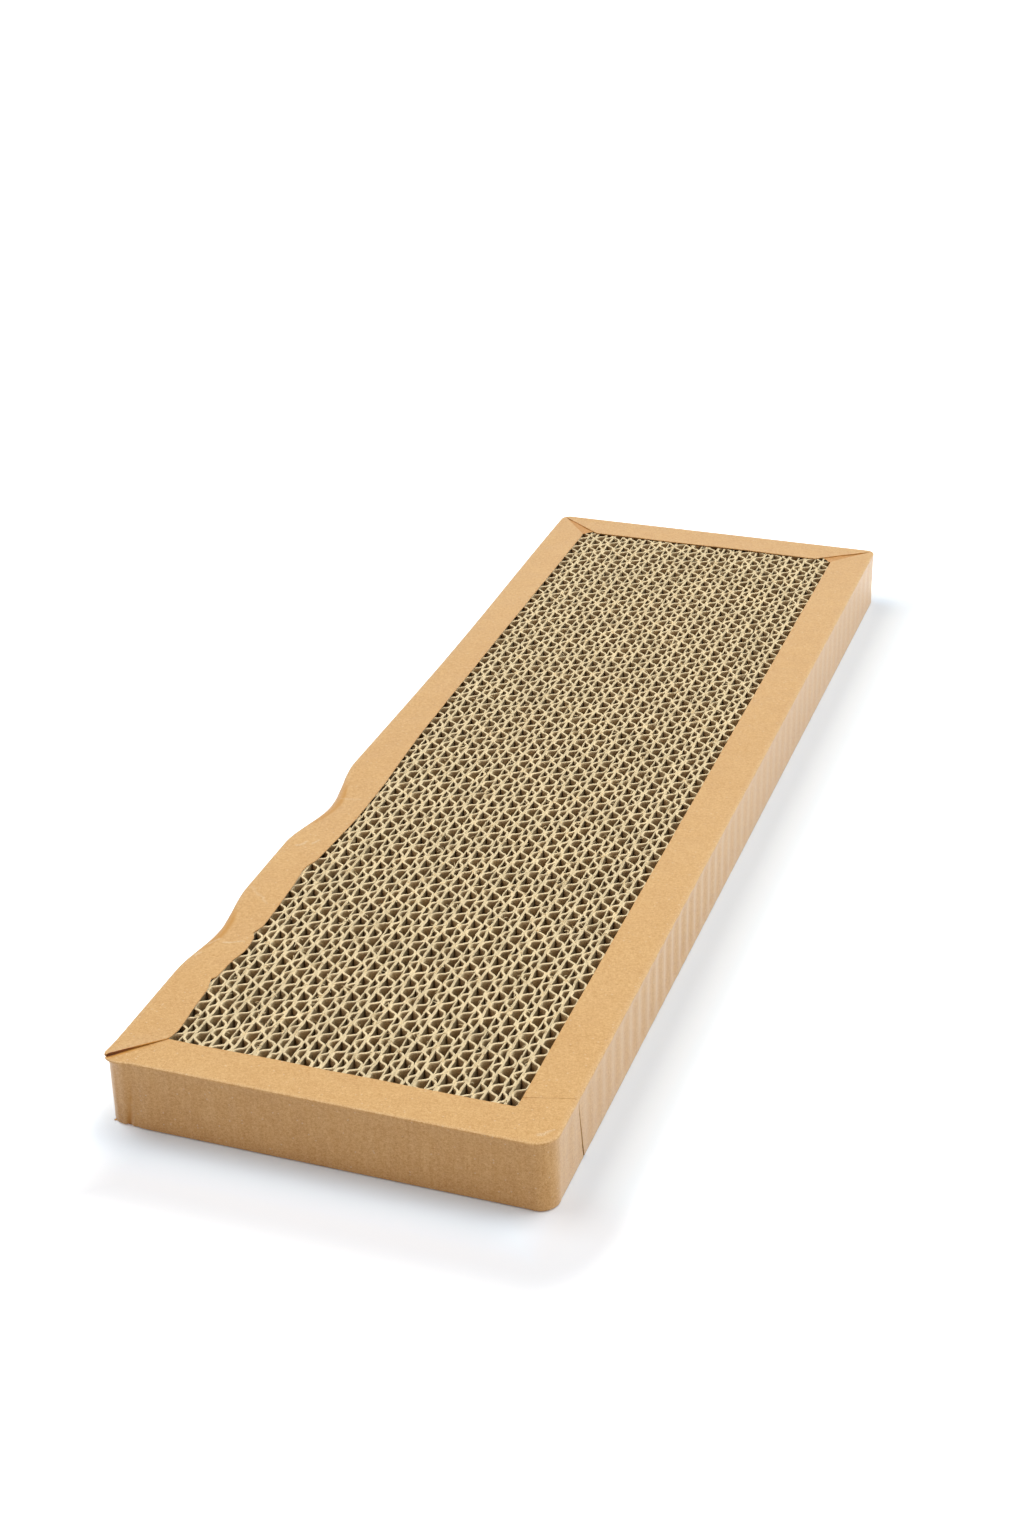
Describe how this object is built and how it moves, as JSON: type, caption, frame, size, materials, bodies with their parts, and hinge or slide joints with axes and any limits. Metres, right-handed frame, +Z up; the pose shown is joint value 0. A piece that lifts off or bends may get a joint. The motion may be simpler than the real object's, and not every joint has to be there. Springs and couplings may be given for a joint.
{
  "type": "cat scratching board",
  "caption": "Flat rectangular cat scratcher: strips of fluted corrugated board stood on edge, bound round by kraft paper tape folded over the top and the underside.",
  "frame": {"origin": "middle of the underside, on the surface that the scratcher lies on", "axes": "+X across the strips, to the right seen from the front end; +Y along the strips, from the front end to the back; +Z up"},
  "size_m": [0.125, 0.3872, 0.0207],
  "materials": {
    "kraft_tape": "matt brown kraft paper, lightly mottled",
    "kraft_liner": "matt flat liner paper with a fuzzy cut edge",
    "fluting_medium": "matt fluted paper with a fuzzy cut edge",
    "covered_board": "matt corrugated board under the tape"
  },
  "bodies": {
    "root": {"edge_tape": "kraft_tape", "strip_01_covered_board": "covered_board", "strip_02_covered_board": "covered_board", "strip_03_large_flute_web": "fluting_medium", "strip_03_small_flute_web": "fluting_medium", "strip_03_backing_liner": "kraft_liner", "strip_04_large_flute_web": "fluting_medium", "strip_04_small_flute_web": "fluting_medium", "strip_04_backing_liner": "kraft_liner", "strip_05_large_flute_web": "fluting_medium", "strip_05_small_flute_web": "fluting_medium", "strip_05_backing_liner": "kraft_liner", "strip_06_large_flute_web": "fluting_medium", "strip_06_small_flute_web": "fluting_medium", "strip_06_backing_liner": "kraft_liner", "strip_07_large_flute_web": "fluting_medium", "strip_07_small_flute_web": "fluting_medium", "strip_07_backing_liner": "kraft_liner", "strip_08_large_flute_web": "fluting_medium", "strip_08_small_flute_web": "fluting_medium", "strip_08_backing_liner": "kraft_liner", "strip_09_large_flute_web": "fluting_medium", "strip_09_small_flute_web": "fluting_medium", "strip_09_backing_liner": "kraft_liner", "strip_10_large_flute_web": "fluting_medium", "strip_10_small_flute_web": "fluting_medium", "strip_10_backing_liner": "kraft_liner", "strip_11_large_flute_web": "fluting_medium", "strip_11_small_flute_web": "fluting_medium", "strip_11_backing_liner": "kraft_liner", "strip_12_large_flute_web": "fluting_medium", "strip_12_small_flute_web": "fluting_medium", "strip_12_backing_liner": "kraft_liner", "strip_13_large_flute_web": "fluting_medium", "strip_13_small_flute_web": "fluting_medium", "strip_13_backing_liner": "kraft_liner", "strip_14_large_flute_web": "fluting_medium", "strip_14_small_flute_web": "fluting_medium", "strip_14_backing_liner": "kraft_liner", "strip_15_large_flute_web": "fluting_medium", "strip_15_small_flute_web": "fluting_medium", "strip_15_backing_liner": "kraft_liner", "strip_16_large_flute_web": "fluting_medium", "strip_16_small_flute_web": "fluting_medium", "strip_16_backing_liner": "kraft_liner", "strip_17_large_flute_web": "fluting_medium", "strip_17_small_flute_web": "fluting_medium", "strip_17_backing_liner": "kraft_liner", "strip_18_large_flute_web": "fluting_medium", "strip_18_small_flute_web": "fluting_medium", "strip_18_backing_liner": "kraft_liner", "strip_19_covered_board": "covered_board", "strip_20_covered_board": "covered_board"}
  },
  "joints": []
}
